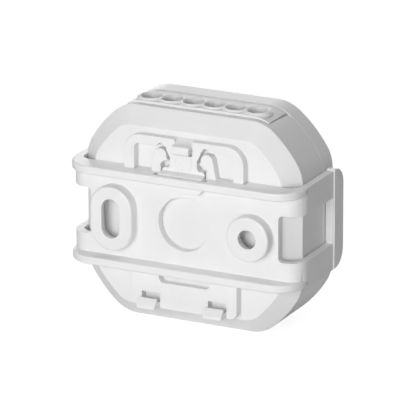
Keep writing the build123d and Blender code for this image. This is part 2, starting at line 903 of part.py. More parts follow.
def relay_fixed_contact():
    """The fixed contact on its post."""
    end = relay_right - 2 * relay_wall
    width = around(relay_z, blade_width)
    seat = fixed_tip - contact_height
    post = span((end - blade_thickness, end), (relay_floor, seat), width)
    seat_plate = span((contact_x - contact_radius, end), (seat - blade_thickness, seat), width)
    return post + seat_plate + rod_y(contact_x, relay_z, contact_radius, seat, fixed_tip)


def can(at, size):
    """An electrolytic capacitor's can with the groove near its foot."""
    radius = size[0] / 2
    groove = radius / 8
    body = rod_y(*at, radius, board_back, board_back + size[1])
    body = fillet(body.faces().sort_by(Axis.Y)[-1].edges(), groove)
    ring = rod_y(*at, radius + over, board_back + 2 * groove, board_back + 3 * groove)
    return body - (ring - rod_y(*at, radius - groove, board_back, board_back + 4 * groove))


def input_capacitor():
    return joined([can(input_capacitor_at, input_capacitor_size), *leads(input_capacitor_leads)])


def output_capacitor():
    return joined([can(output_capacitor_at, output_capacitor_size), *leads(output_capacitor_leads)])


def inductor_core():
    """The drum core of the power inductor, on its two leads."""
    diameter, height = inductor_size
    drum = rod_y(*inductor_at, diameter / 2, board_back, board_back + height)
    groove = (board_back + inductor_rim, board_back + height - inductor_rim)
    ring = rod_y(*inductor_at, diameter, *groove) - rod_y(*inductor_at, inductor_waist / 2, *groove)
    return joined([drum - ring, *leads(inductor_leads)])


def inductor_winding():
    """The wire wound in the drum's groove."""
    diameter, height = inductor_size
    groove = (board_back + inductor_rim, board_back + height - inductor_rim)
    outer = rod_y(*inductor_at, diameter / 2 - fit_gap, *groove)
    return outer - rod_y(*inductor_at, inductor_waist / 2, *groove)


def boxed(at, size, corner):
    """A moulded box on the board, its upright and back edges rounded."""
    box = span(around(at[0], size[0]), (board_back, board_back + size[1]), around(at[1], size[2]))
    edges = [e for e in box.edges() if e.center().Y > board_back + corner]
    return fillet(edges, corner)


def film_capacitor():
    box = boxed(film_capacitor_at, film_capacitor_size, film_capacitor_size[2] / 10)
    return joined([box, *leads(film_capacitor_leads)])


def varistor():
    """A disc varistor standing on its leads."""
    diameter, thickness = varistor_size
    x, z = varistor_at
    disc = rod_z(x, board_back + diameter / 2, diameter / 2, *around(z, thickness))
    disc = fillet(disc.edges().filter_by(GeomType.CIRCLE), thickness / 4)
    legs = [rod_y(*place, lead_radius, board_back, board_back + diameter / 2) for place in varistor_leads]
    return joined([disc, *legs, *leads(varistor_leads)])


def fuse_resistor():
    """A fusible resistor lying on the board, its leads bent down."""
    diameter, length = fuse_resistor_size
    x, z = fuse_resistor_at
    height = board_back + diameter / 2
    body = rod_x(height, z, diameter / 2, *around(x, length))
    body = fillet(body.edges().filter_by(GeomType.CIRCLE), diameter / 6)
    left, right = fuse_resistor_leads
    wire = rod_x(height, z, lead_radius, left[0], right[0])
    legs = [rod_y(*place, lead_radius, board_back, height) for place in fuse_resistor_leads]
    elbows = [Pos(place[0], height, place[1]) * Sphere(lead_radius) for place in fuse_resistor_leads]
    return joined([body, wire, *legs, *elbows, *leads(fuse_resistor_leads)])


def bridge_rectifier():
    return boxed(bridge_at, bridge_size, bridge_size[1] / 8)


def power_chip():
    return boxed(chip_at, chip_size, chip_size[1] / 8)


def radio_board():
    """The small radio board soldered flat on the main board."""
    return span(
        around(radio_board_at[0], radio_board_size[0]),
        (board_back, board_back + radio_board_size[1]),
        around(radio_board_at[1], radio_board_size[2]),
    )


def radio_shield():
    """The metal can over the radio's chips."""
    front = board_back + radio_board_size[1]
    x_range = around(radio_board_at[0], shield_size[0])
    z_range = around(radio_board_at[1] - shield_rise, shield_size[2])
    can_solid = span(x_range, (front, front + shield_size[1]), z_range)
    return fillet(can_solid.faces().sort_by(Axis.Y)[-1].edges(), shield_size[1] / 6)


def switch_body():
    """The tact switch's body, with the hole that its plunger runs in."""
    box = boxed(button_at, switch_size, switch_size[1] / 10)
    back = board_back + switch_size[1]
    floor = back - plunger_depth - button_travel - plunger_gap
    hole = rod_y(*button_at, plunger_radius + plunger_gap, floor, back + over)
    return joined([box - hole, *leads(switch_leads)])


def switch_plunger():
    """The switch's plunger, which the button's stem pushes."""
    back = board_back + switch_size[1]
    return rod_y(*button_at, plunger_radius, back - plunger_depth, back + plunger_rise)


def pairing_button():
    """The button in the lid, with the flange that keeps it in and its long stem."""
    stem_front = board_back + switch_size[1] + plunger_rise
    flange_back = lid_inside - fit_gap
    stem = rod_y(*button_at, button_stem_radius, stem_front, flange_back - button_flange / 2)
    flange = rod_y(*button_at, button_flange_radius, flange_back - button_flange, flange_back)
    cap = rod_y(*button_at, button_radius, flange_back - button_flange / 2, body_back - button_recess)
    cap = fillet(cap.faces().sort_by(Axis.Y)[-1].edges(), button_recess)
    return joined([stem, flange, cap])


def status_led():
    """The light source on the board."""
    depth = (board_back, board_back + led_size[1])
    return span(around(light_at[0], led_size[0]), depth, around(light_at[1], led_size[2]))


def light_pipe():
    """The clear rod that carries the light to the lid's window."""
    front = board_back + led_size[1]
    rod = rod_y(*light_at, light_radius, front, body_back)
    collar = rod_y(*light_at, light_collar_radius, lid_inside - light_collar, lid_inside)
    return rod + collar


def place(solid):
    """Moves a piece from the module's middle to the origin under the whole object."""
    depth_middle = (ear_back - lip_reach) / 2
    return Pos(0, -depth_middle, body_half_height) * solid


pieces = {
    "mounting_bracket": mounting_bracket(),
    "rail_latch": rail_latch(),
    "base_shell": base_shell(),
    "lid": lid(),
    "terminal_block": terminal_block(),
    "terminal_contacts": terminal_contacts(),
    "circuit_board": circuit_board(),
    "relay_base": relay_base(),
    "relay_case": relay_case(),
    "relay_core": relay_core(),
    "relay_yoke": relay_yoke(),
    "relay_bobbin": relay_bobbin(),
    "relay_winding": relay_winding(),
    "relay_armature": relay_armature(),
    "relay_moving_contact": relay_moving_contact(),
    "relay_fixed_contact": relay_fixed_contact(),
    "input_capacitor": input_capacitor(),
    "output_capacitor": output_capacitor(),
    "inductor_core": inductor_core(),
    "inductor_winding": inductor_winding(),
    "film_capacitor": film_capacitor(),
    "varistor": varistor(),
    "fuse_resistor": fuse_resistor(),
    "bridge_rectifier": bridge_rectifier(),
    "power_chip": power_chip(),
    "radio_board": radio_board(),
    "radio_shield": radio_shield(),
    "switch_body": switch_body(),
    "switch_plunger": switch_plunger(),
    "pairing_button": pairing_button(),
    "status_led": status_led(),
    "light_pipe": light_pipe(),
}
for number, x in enumerate(terminal_places(), start=1):
    pieces[f"terminal_cage_{number}"] = terminal_cage(x)
    pieces[f"terminal_screw_{number}"] = terminal_screw(x)

os.makedirs("parts", exist_ok=True)
for name, solid in pieces.items():
    export_step(place(solid), f"parts/{name}.step")
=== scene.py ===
"""A smart relay module in its clip-on bracket, dressed and set for a studio picture."""

import json
import math

import bmesh
import bpy
from bpy.props import FloatProperty, FloatVectorProperty, IntProperty, PointerProperty
from bpy.types import Operator, Panel, PropertyGroup
from mathutils import Matrix, Vector

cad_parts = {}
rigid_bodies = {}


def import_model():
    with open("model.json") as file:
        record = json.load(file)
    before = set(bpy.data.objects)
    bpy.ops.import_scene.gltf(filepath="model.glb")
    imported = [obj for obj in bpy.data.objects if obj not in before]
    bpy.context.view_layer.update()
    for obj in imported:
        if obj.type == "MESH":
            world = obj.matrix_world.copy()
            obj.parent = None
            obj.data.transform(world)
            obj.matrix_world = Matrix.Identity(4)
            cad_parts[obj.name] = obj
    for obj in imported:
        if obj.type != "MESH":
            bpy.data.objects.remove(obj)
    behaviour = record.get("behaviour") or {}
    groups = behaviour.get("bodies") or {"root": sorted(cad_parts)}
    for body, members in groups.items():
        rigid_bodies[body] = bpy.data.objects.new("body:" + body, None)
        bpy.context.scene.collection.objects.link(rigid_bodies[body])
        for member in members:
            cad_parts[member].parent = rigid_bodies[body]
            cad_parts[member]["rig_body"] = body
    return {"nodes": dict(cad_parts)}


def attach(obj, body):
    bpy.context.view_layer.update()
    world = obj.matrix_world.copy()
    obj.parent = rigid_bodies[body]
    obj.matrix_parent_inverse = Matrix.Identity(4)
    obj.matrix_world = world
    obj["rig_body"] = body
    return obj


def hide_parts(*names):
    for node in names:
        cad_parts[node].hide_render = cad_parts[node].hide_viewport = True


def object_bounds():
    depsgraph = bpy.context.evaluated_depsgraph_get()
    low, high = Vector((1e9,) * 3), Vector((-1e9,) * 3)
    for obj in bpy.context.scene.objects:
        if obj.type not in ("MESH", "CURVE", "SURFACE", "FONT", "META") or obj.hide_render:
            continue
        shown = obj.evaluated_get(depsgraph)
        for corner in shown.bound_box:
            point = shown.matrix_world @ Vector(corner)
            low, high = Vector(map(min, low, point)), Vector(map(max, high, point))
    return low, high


bl_info = {
    "name": "Relay module looks",
    "version": (1, 0, 0),
    "blender": (4, 5, 0),
    "location": "View3D > Sidebar > Relay",
    "description": "Rolls the edges of a relay module's mouldings, finishes each piece and sets the stage",
    "category": "Object",
}

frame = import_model()
cad_low, cad_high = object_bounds()

MM = 0.001

# Clean-up of rolled meshes: corners nearer than this become one, shorter edges than this go, and faces that turn
# less than this become one
WELD = 0.002 * MM
SLIVER = 0.001 * MM
FLAT_TURN = math.radians(0.5)
# Two edges of a face look at each other where the cosine between their runs is under this
FACING = -0.3
# Two stretches of line run side by side where the area between their runs is under this, in square metres
PARALLEL = 1e-16
# In radii: how near a crossing an edge stays sharp, and how long a stretch of outline is drawn together
SPARED_REACH = 4
TANGLE_REACH = 8
ROLL_TRIES = 3
# Above 50, a vertex's normal leans towards its larger faces
LARGE_FACE_WEIGHT = 80

CAGES = [f"terminal_cage_{number}" for number in range(1, 7)]
SCREWS = [f"terminal_screw_{number}" for number in range(1, 7)]


def linear(code):
    """An sRGB hex colour as linear red, green, blue and alpha."""
    channels = [int(code[place:place + 2], 16) / 255 for place in (0, 2, 4)]
    return [c / 12.92 if c <= 0.04045 else ((c + 0.055) / 1.055) ** 2.4 for c in channels] + [1.0]


def body_of(node):
    """The body that a node rides on."""
    return frame["nodes"][node]["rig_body"]


class RelayEdgeSettings(PropertyGroup):
    """How far the moulded and turned edges are rolled over."""

    bracket: FloatProperty(
        name="Bracket edges", description="Radius on the bracket's and latch's edges",
        default=0.13 * MM, min=0, unit="LENGTH", precision=5,
    )
    housing: FloatProperty(
        name="Housing edges", description="Radius on the housing's and lid's edges",
        default=0.08 * MM, min=0, unit="LENGTH", precision=5,
    )
    terminals: FloatProperty(
        name="Terminal edges", description="Radius on the terminal block's edges",
        default=0.08 * MM, min=0, unit="LENGTH", precision=5,
    )
    metal: FloatProperty(
        name="Metal edges", description="Radius on the edges of the screws and cages",
        default=0.06 * MM, min=0, unit="LENGTH", precision=5,
    )
    segments: IntProperty(name="Steps", description="Facets across each rolled edge", default=3, min=1, max=6)
    sharp: FloatProperty(
        name="Sharp from", description="Edges that turn more than this are rolled over",
        default=math.radians(33), subtype="ANGLE",
    )
    room_share: FloatProperty(
        name="Room used", description="Largest radius as a share of the width between two edges",
        default=0.45, min=0.05, max=0.5,
    )


class RelayColourSettings(PropertyGroup):
    """The colours of the mouldings."""

    housing: FloatVectorProperty(
        name="Housing", description="Polycarbonate of the housing and lid",
        default=linear("ECECEC"), size=4, subtype="COLOR",
    )
    bracket: FloatVectorProperty(
        name="Bracket", description="Plastic of the bracket and its latch",
        default=linear("EEEEEE"), size=4, subtype="COLOR",
    )
    terminals: FloatVectorProperty(
        name="Terminals", description="Plastic of the terminal block",
        default=linear("EBEBEB"), size=4, subtype="COLOR",
    )
    button: FloatVectorProperty(
        name="Button", description="Plastic of the pairing button",
        default=linear("E2E2E2"), size=4, subtype="COLOR",
    )
    floor: FloatVectorProperty(
        name="Floor", description="The floor's pale paint", default=linear("F4F4F4"), size=4, subtype="COLOR",
    )


class RelayViewSettings(PropertyGroup):
    """Where the camera stands. The aim point is counted from the origin under the object."""

    azimuth: FloatProperty(
        name="Azimuth", description="Turn of the camera from the front towards +X",
        default=math.radians(26.362), subtype="ANGLE",
    )
    elevation: FloatProperty(
        name="Elevation", description="Height of the camera above the horizon",
        default=math.radians(18.108), subtype="ANGLE",
    )
    roll: FloatProperty(
        name="Roll", description="Turn of the picture", default=math.radians(-0.112), subtype="ANGLE",
    )
    distance: FloatProperty(
        name="Distance", description="From the aim point to the camera", default=963.9 * MM, unit="LENGTH",
    )
    aim_right: FloatProperty(
        name="Aim right", description="Shift of the camera across the picture", default=5.148 * MM, unit="LENGTH",
    )
    aim_up: FloatProperty(
        name="Aim up", description="Shift of the camera up the picture", default=3.711 * MM, unit="LENGTH",
    )
    aim_depth: FloatProperty(
        name="Aim depth", description="The aim point's place along Y", default=-9.0 * MM, unit="LENGTH",
    )
    aim_height: FloatProperty(
        name="Aim height", description="The aim point's height above the floor", default=23.75 * MM, unit="LENGTH",
    )
    focal_share: FloatProperty(
        name="Focal length", description="Focal length as a share of the picture's width",
        default=4500 / 415, min=0.1,
    )


class RelayStageSettings(PropertyGroup):
    """The floor and how bright the studio is."""

    floor_radius: FloatProperty(
        name="Floor radius", description="Half the floor's width", default=1.5, unit="LENGTH",
    )
    floor_drop: FloatProperty(
        name="Floor drop", description="How far the floor lies under the object", default=0.02 * MM, unit="LENGTH",
        precision=5,
    )
    lamp_distance: FloatProperty(
        name="Lamp distance", description="From the object to each lamp", default=0.6, unit="LENGTH",
    )
    lamp_level: FloatProperty(
        name="Lamp level", description="Scales every lamp", default=1.0, min=0,
    )
    room_level: FloatProperty(
        name="Room level", description="Strength of the light from all round", default=0.105, min=0,
    )


SETTINGS = (
    ("relay_edges", RelayEdgeSettings),
    ("relay_colours", RelayColourSettings),
    ("relay_view", RelayViewSettings),
    ("relay_stage", RelayStageSettings),
)


def add_node(tree, kind, settings=None, inputs=None):
    """Adds a node, sets its properties, and fills or links its inputs by name or number."""
    node = tree.nodes.new(kind)
    for name, value in (settings or {}).items():
        setattr(node, name, value)
    for name, value in (inputs or {}).items():
        if isinstance(value, bpy.types.NodeSocket):
            tree.links.new(value, node.inputs[name])
        else:
            node.inputs[name].default_value = value
    return node


def new_tree(name):
    """An empty material and its node tree."""
    material = bpy.data.materials.new(name)
    material.use_nodes = True
    material.node_tree.nodes.clear()
    return material, material.node_tree


def shaded(colour, factor):
    """A linear colour made darker or lighter by a factor."""
    return [min(1.0, channel * factor) for channel in colour[:3]] + [1.0]


def noise(tree, place, size, detail=2.0):
    """Noise whose patches are about a real size across."""
    return add_node(tree, "ShaderNodeTexNoise", inputs={"Vector": place, "Scale": 1 / size, "Detail": detail})


def grained(name, colour, patch, grain, depth, tone=0.015, rough=(0.4, 0.5), ior=1.5, metallic=0.0):
    """A moulded, cast or plated surface: patches of faint tone and gloss, and a fine grain in relief.

    patch and grain are real sizes across, depth is the grain's height, tone is how much the
    colour strays, and rough is the roughness in the glossiest and the dullest patches.
    """
    material, tree = new_tree(name)
    place = add_node(tree, "ShaderNodeTexCoord").outputs["Object"]
    clouds = noise(tree, place, patch, detail=3.0).outputs["Fac"]
    ramp = add_node(tree, "ShaderNodeValToRGB", inputs={"Fac": clouds})
    ramp.color_ramp.elements[0].position = 0.3
    ramp.color_ramp.elements[0].color = shaded(colour, 1 - tone)
    ramp.color_ramp.elements[1].position = 0.7
    ramp.color_ramp.elements[1].color = shaded(colour, 1 + tone)
    gloss = add_node(tree, "ShaderNodeMapRange", inputs={"Value": clouds, "To Min": rough[0], "To Max": rough[1]})
    fine = noise(tree, place, grain, detail=1.0).outputs["Fac"]
    relief = add_node(tree, "ShaderNodeBump", inputs={"Height": fine, "Distance": depth, "Strength": 1.0})
    surface = add_node(tree, "ShaderNodeBsdfPrincipled", inputs={
        "Base Color": ramp.outputs["Color"], "Roughness": gloss.outputs["Result"],
        "Normal": relief.outputs["Normal"], "IOR": ior, "Metallic": metallic,
    })
    add_node(tree, "ShaderNodeOutputMaterial", inputs={"Surface": surface.outputs["BSDF"]})
    return material


def wound(name, colour, wire, axis):
    """Enamelled copper wire laid turn beside turn: painted bands of light and shade as wide as the wire, over a
    relief in the same bands.
    """
    material, tree = new_tree(name)
    place = add_node(tree, "ShaderNodeTexCoord").outputs["Object"]
    bands = add_node(
        tree, "ShaderNodeTexWave", {"bands_direction": axis, "wave_profile": "SIN"},
        {"Vector": place, "Scale": 1 / (wire * 2 * math.pi), "Distortion": 0.4, "Detail": 1.0},
    ).outputs["Fac"]
    ramp = add_node(tree, "ShaderNodeValToRGB", inputs={"Fac": bands})
    # The dark end of the bands is painted shade, darkening the grooves between the turns.
    ramp.color_ramp.elements[0].color = shaded(colour, 0.45)
    ramp.color_ramp.elements[1].color = colour
    relief = add_node(tree, "ShaderNodeBump", inputs={"Height": bands, "Distance": wire / 2, "Strength": 1.0})
    surface = add_node(tree, "ShaderNodeBsdfPrincipled", inputs={
        "Base Color": ramp.outputs["Color"], "Normal": relief.outputs["Normal"], "Metallic": 1.0, "Roughness": 0.3,
        "Coat Weight": 0.4,
    })
    add_node(tree, "ShaderNodeOutputMaterial", inputs={"Surface": surface.outputs["BSDF"]})
    return material


def laminate(name, mask, track, pitch):
    """Glass-filled laminate under solder mask: paler where a copper track runs underneath."""
    material, tree = new_tree(name)
    place = add_node(tree, "ShaderNodeTexCoord").outputs["Object"]
    cells = add_node(
        tree, "ShaderNodeTexVoronoi", {"distance": "CHEBYCHEV"},
        {"Vector": place, "Scale": 1 / pitch, "Randomness": 0.6},
    ).outputs["Distance"]
    ramp = add_node(tree, "ShaderNodeValToRGB", inputs={"Fac": cells})
    ramp.color_ramp.interpolation = "CONSTANT"
    ramp.color_ramp.elements[0].color = mask
    ramp.color_ramp.elements[1].position = 0.55
    ramp.color_ramp.elements[1].color = track
    relief = add_node(tree, "ShaderNodeBump", inputs={"Height": cells, "Distance": 0.03 * MM, "Strength": 0.5})
    surface = add_node(tree, "ShaderNodeBsdfPrincipled", inputs={
        "Base Color": ramp.outputs["Color"], "Normal": relief.outputs["Normal"], "Roughness": 0.35, "IOR": 1.5,
    })
    add_node(tree, "ShaderNodeOutputMaterial", inputs={"Surface": surface.outputs["BSDF"]})
    return material


def clear(name, tint, ior, haze_size):
    """A clear moulding with a faint haze in its gloss."""
    material, tree = new_tree(name)
    place = add_node(tree, "ShaderNodeTexCoord").outputs["Object"]
    haze = noise(tree, place, haze_size).outputs["Fac"]
    gloss = add_node(tree, "ShaderNodeMapRange", inputs={"Value": haze, "To Min": 0.04, "To Max": 0.14})
    surface = add_node(tree, "ShaderNodeBsdfPrincipled", inputs={
        "Base Color": tint, "Roughness": gloss.outputs["Result"], "IOR": ior, "Transmission Weight": 0.9,
    })
    add_node(tree, "ShaderNodeOutputMaterial", inputs={"Surface": surface.outputs["BSDF"]})
    return material


def dress(material, *nodes):
    """Gives CAD nodes one finish. Only their material slots change."""
    for node in nodes:
        slots = frame["nodes"][node].data.materials
        slots.clear()
        slots.append(material)


def flat(face):
    """A face's corners as points in its own plane."""
    first = face.normal.orthogonal().normalized()
    second = face.normal.cross(first)
    return [Vector((vertex.co.dot(first), vertex.co.dot(second))) for vertex in face.verts]


def spacing(point, start, end):
    """How far a point lies from a stretch of line."""
    along = end - start
    share = max(0.0, min(1.0, (point - start).dot(along) / along.length_squared))
    return (point - start - along * share).length


def crossing(a, b, c, d):
    """How far along the stretch from a to b the stretch from c to d crosses it, or None."""
    first, second = b - a, d - c
    turn = first.cross(second)
    if abs(turn) < PARALLEL:
        return None
    along, across = (c - a).cross(second) / turn, (c - a).cross(first) / turn
    return along if 0 <= along <= 1 and 0 <= across <= 1 else None


def narrow_rooms(face, sharp, reach):
    """For the sharp edges of a face, how near the next facing sharp edge is, where that is within reach."""
    points = flat(face)
    sides = []
    for place, loop in enumerate(face.loops):
        start, end = points[place], points[(place + 1) % len(points)]
        if loop.edge in sharp and start != end:
            sides.append((loop.edge, start, end, (end - start).normalized()))
    found = {}
    for place, (edge, a, b, run) in enumerate(sides):
        for other, c, d, back in sides[place + 1:]:
            if run.dot(back) > FACING:
                continue
            gap = min(spacing(a, c, d), spacing(b, c, d), spacing(c, a, b), spacing(d, a, b))
            if gap < reach:
                found[edge] = min(found.get(edge, reach), gap)
                found[other] = min(found.get(other, reach), gap)
    return found


def untangle(face, reach):
    """Draws each short stretch of a face's outline that crosses itself together at the crossing."""
    points, corners = flat(face), list(face.verts)
    count = len(points)
    for place in range(count):
        travelled = 0.0
        for step in range(2, count - 1):
            there = (place + step) % count
            travelled += (points[there] - points[there - 1]).length
            if travelled > reach:
                break
            share = crossing(points[place], points[(place + 1) % count], points[there], points[(there + 1) % count])
            if share is None:
                continue
            meeting = corners[place].co.lerp(corners[(place + 1) % count].co, share)
            for k in range(1, step + 1):
                corners[(place + k) % count].co = meeting
            break


def tangles(shape):
    """The places where a face's outline still crosses itself."""
    places = []
    for face in shape.faces:
        points = flat(face)
        count = len(points)
        for one in range(count - 2):
            a, b = points[one], points[one + 1]
            low, high = min(a.x, b.x), max(a.x, b.x)
            for other in range(one + 2, count - (one == 0)):
                c, d = points[other], points[(other + 1) % count]
                if (c.x < low and d.x < low) or (c.x > high and d.x > high):
                    continue
                if crossing(a, b, c, d) is not None:
                    places.append(face.verts[one].co.copy())
    return places


def weighed(mesh, radius, edges, spared):
    """A copy of a mesh, its flat faces joined, with the share of the radius that each sharp edge has room for."""
    shape = bmesh.new()
    shape.from_mesh(mesh)
    bmesh.ops.remove_doubles(shape, verts=shape.verts, dist=WELD)
    bmesh.ops.dissolve_limit(shape, angle_limit=FLAT_TURN, verts=shape.verts, edges=shape.edges)
    weight = shape.edges.layers.float.new("bevel_weight_edge")
    sharp = {e for e in shape.edges if e.is_manifold and e.calc_face_angle() > edges.sharp}
    for edge in sharp:
        start, end = (vertex.co for vertex in edge.verts)
        near = any(spacing(place, start, end) < SPARED_REACH * radius for place in spared)
        edge[weight] = 0 if near else 1
    reach = radius / edges.room_share
    for face in shape.faces:
        for edge, gap in narrow_rooms(face, sharp, reach).items():
            edge[weight] = min(edge[weight], gap / reach)
    plain = bpy.data.meshes.new("plain")
    shape.to_mesh(plain)
    shape.free()
    return plain


def bevelled(plain, radius, edges):
    """A weighed mesh with its edges rolled over. The weighed mesh goes."""
    holder = bpy.data.objects.new("plain", plain)
    bpy.context.scene.collection.objects.link(holder)
    roll = holder.modifiers.new("rolled edges", "BEVEL")
    roll.limit_method = "WEIGHT"
    roll.width = radius
    roll.segments = edges.segments
    roll.use_clamp_overlap = False
    roll.loop_slide = False
    shape = bmesh.new()
    shape.from_object(holder, bpy.context.evaluated_depsgraph_get())
    bpy.data.objects.remove(holder)
    bpy.data.meshes.remove(plain)
    return shape


def rolled_once(mesh, radius, edges, spared):
    """A closed mesh with its sharp edges rolled over by the radius, or by less where the faces are narrow."""
    shape = bevelled(weighed(mesh, radius, edges, spared), radius, edges)
    for face in shape.faces:
        if len(face.verts) > 4:
            untangle(face, TANGLE_REACH * radius)
    bmesh.ops.remove_doubles(shape, verts=shape.verts, dist=WELD)
    bmesh.ops.dissolve_degenerate(shape, edges=shape.edges, dist=SLIVER)
    shape.normal_update()
    return shape


def rolled(mesh, radius, edges):
    """Rolls a mesh's edges over. Where an outline still crosses itself, the edges nearby stay sharp."""
    spared = []
    for _ in range(ROLL_TRIES):
        shape = rolled_once(mesh, radius, edges, spared)
        crossed = tangles(shape)
        if not crossed:
            break
        spared += crossed
    shape.to_mesh(mesh)
    shape.free()


def softened(node, name, radius, material):
    """Lays a copy of a node's piece with rolled edges in the node's own place. It stands for the node."""
    edges = bpy.context.scene.relay_edges
    mesh = frame["nodes"][node].data.copy()
    mesh.name = name
    rolled(mesh, radius, edges)
    mesh.materials.clear()
    mesh.materials.append(material)
    mesh.shade_smooth()
    mesh.set_sharp_from_angle(angle=edges.sharp)
    piece = bpy.data.objects.new(name, mesh)
    bpy.context.scene.collection.objects.link(piece)
    modifier = piece.modifiers.new("even shading", "WEIGHTED_NORMAL")
    modifier.keep_sharp = True
    modifier.weight = LARGE_FACE_WEIGHT
    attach(piece, body_of(node))
    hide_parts(node)


class RELAY_OT_housing(Operator):
    """Rolls the housing's edges and gives it its finish"""

    bl_idname = "relay_looks.housing"
    bl_label = "Housing and lid"

    def execute(self, context):
        # Polycarbonate, moulded in a spark-eroded tool: a satin white with a grain of about 0.1 mm.
        # That is too fine to show, so the grain is drawn at 0.35 mm.
        colour = list(context.scene.relay_colours.housing)
        material = grained(
            "polycarbonate_spark_eroded", colour, 9 * MM, 0.35 * MM, 0.004 * MM, rough=(0.42, 0.52), ior=1.58,
        )
        radius = context.scene.relay_edges.housing
        softened("base_shell", "housing_front", radius, material)
        softened("lid", "housing_lid", radius, material)
        return {"FINISHED"}


class RELAY_OT_bracket(Operator):
    """Rolls the bracket's and the latch's edges and gives them their finish"""

    bl_idname = "relay_looks.bracket"
    bl_label = "Bracket and latch"

    def execute(self, context):
        # ABS moulded in a stoned tool: smoother than the housing, with a soft sheen on its rolled edges.
        colour = list(context.scene.relay_colours.bracket)
        material = grained("abs_satin_moulded", colour, 7 * MM, 0.5 * MM, 0.003 * MM, rough=(0.36, 0.46), ior=1.54)
        radius = context.scene.relay_edges.bracket
        softened("mounting_bracket", "bracket_moulding", radius, material)
        softened("rail_latch", "latch_moulding", radius, material)
        return {"FINISHED"}


class RELAY_OT_terminals(Operator):
    """Finishes the terminal block, its cages, screws and contact bars"""

    bl_idname = "relay_looks.terminals"
    bl_label = "Terminals"

    def execute(self, context):
        edges = context.scene.relay_edges
        # Polyamide, moulded: a slightly warmer and duller white than the housing.
        block = grained(
            "polyamide_moulded", list(context.scene.relay_colours.terminals), 6 * MM, 0.3 * MM, 0.003 * MM,
            rough=(0.4, 0.5), ior=1.53,
        )
        softened("terminal_block", "terminal_moulding", edges.terminals, block)
        # Steel, zinc plated and passivated: bright, with faint cloudy patches.
        zinc = grained(
            "steel_zinc_plated", linear("C9CCD0"), 0.8 * MM, 0.15 * MM, 0.002 * MM, tone=0.06, rough=(0.22, 0.36),
            metallic=1.0,
        )
        for node in CAGES + SCREWS:
            softened(node, node.replace("terminal", "clamp"), edges.metal, zinc)
        # Brass, tin plated: a dull silver with a hint of yellow.
        tin = grained(
            "brass_tin_plated", linear("CFCBBF"), 1.2 * MM, 0.2 * MM, 0.002 * MM, tone=0.05, rough=(0.3, 0.45),
            metallic=1.0,
        )
        dress(tin, "terminal_contacts")
        return {"FINISHED"}


class RELAY_OT_button(Operator):
    """Finishes the pairing button, its switch, the light and its pipe"""

    bl_idname = "relay_looks.button"
    bl_label = "Button and light"

    def execute(self, context):
        # ABS, moulded glossy: the cap shines a little more than the lid round it.
        cap = grained(
            "abs_gloss_moulded", list(context.scene.relay_colours.button), 3 * MM, 0.4 * MM, 0.002 * MM,
            rough=(0.22, 0.3), ior=1.54,
        )
        softened("pairing_button", "button_moulding", context.scene.relay_edges.terminals, cap)
        # Polyamide, moulded black: the switch's body, even and dark.
        black = grained("polyamide_black", linear("26262A"), 2 * MM, 0.2 * MM, 0.003 * MM, rough=(0.4, 0.5), ior=1.53)
        dress(black, "switch_body", "switch_plunger")
        # Acrylic rod, moulded clear: it lets the light through and glints at its rim.
        dress(clear("acrylic_clear", linear("F2F6F8"), 1.49, 2 * MM), "light_pipe")
        # Epoxy round the light source, milky and slightly yellow.
        resin = grained("epoxy_milky", linear("EFE9C8"), 1 * MM, 0.2 * MM, 0.001 * MM, rough=(0.2, 0.3), ior=1.5)
        dress(resin, "status_led")
        return {"FINISHED"}


class RELAY_OT_boards(Operator):
    """Finishes the circuit board, the radio board and its shield"""

    bl_idname = "relay_looks.boards"
    bl_label = "Boards"

    def execute(self, context):
        # Glass-filled epoxy laminate under green solder mask, glossy over the tracks.
        dress(laminate("laminate_green_mask", linear("0E5A34"), linear("2A8A57"), 2.2 * MM), "circuit_board")
        # The same laminate under dark blue mask, with finer tracks.
        dress(laminate("laminate_blue_mask", linear("14284F"), linear("2F4A80"), 1.1 * MM), "radio_board")
        # Tinplate, drawn: bright with the drawing's faint grain.
        tinplate = grained(
            "tinplate_drawn", linear("C8C9C6"), 2 * MM, 0.12 * MM, 0.001 * MM, tone=0.04, rough=(0.2, 0.32),
            metallic=1.0,
        )
        dress(tinplate, "radio_shield")
        return {"FINISHED"}


class RELAY_OT_relay(Operator):
    """Finishes the relay's pieces"""

    bl_idname = "relay_looks.relay"
    bl_label = "Relay"

    def execute(self, context):
        # Polyester, moulded black and glossy, as relay covers are.
        cover = grained("polyester_black", linear("1C1C20"), 4 * MM, 0.3 * MM, 0.002 * MM, rough=(0.2, 0.3), ior=1.57)
        dress(cover, "relay_case", "relay_base")
        # Natural polyester, moulded: the bobbin's cream, a little waxy.
        cream = grained(
            "polyester_natural", linear("E4DFCB"), 3 * MM, 0.3 * MM, 0.002 * MM, rough=(0.35, 0.45), ior=1.57,
        )
        dress(cream, "relay_bobbin")
        # Soft iron, nickel plated: grey, softly bright.
        nickel = grained(
            "iron_nickel_plated", linear("B4B4B0"), 1.5 * MM, 0.2 * MM, 0.002 * MM, tone=0.05, rough=(0.25, 0.38),
            metallic=1.0,
        )
        dress(nickel, "relay_core", "relay_yoke", "relay_armature")
        # Copper wire of 0.1 mm under clear enamel, wound in turns side by side. That is too fine to show, so the
        # turns are drawn at 0.2 mm.
        dress(wound("copper_wire_fine", linear("B5632E"), 0.2 * MM, "X"), "relay_winding")
        # Bronze leaf with a silver contact, rolled and bright.
        bronze = grained(
            "bronze_rolled", linear("C9A277"), 1 * MM, 0.15 * MM, 0.001 * MM, tone=0.05, rough=(0.2, 0.3),
            metallic=1.0,
        )
        dress(bronze, "relay_moving_contact", "relay_fixed_contact")
        return {"FINISHED"}


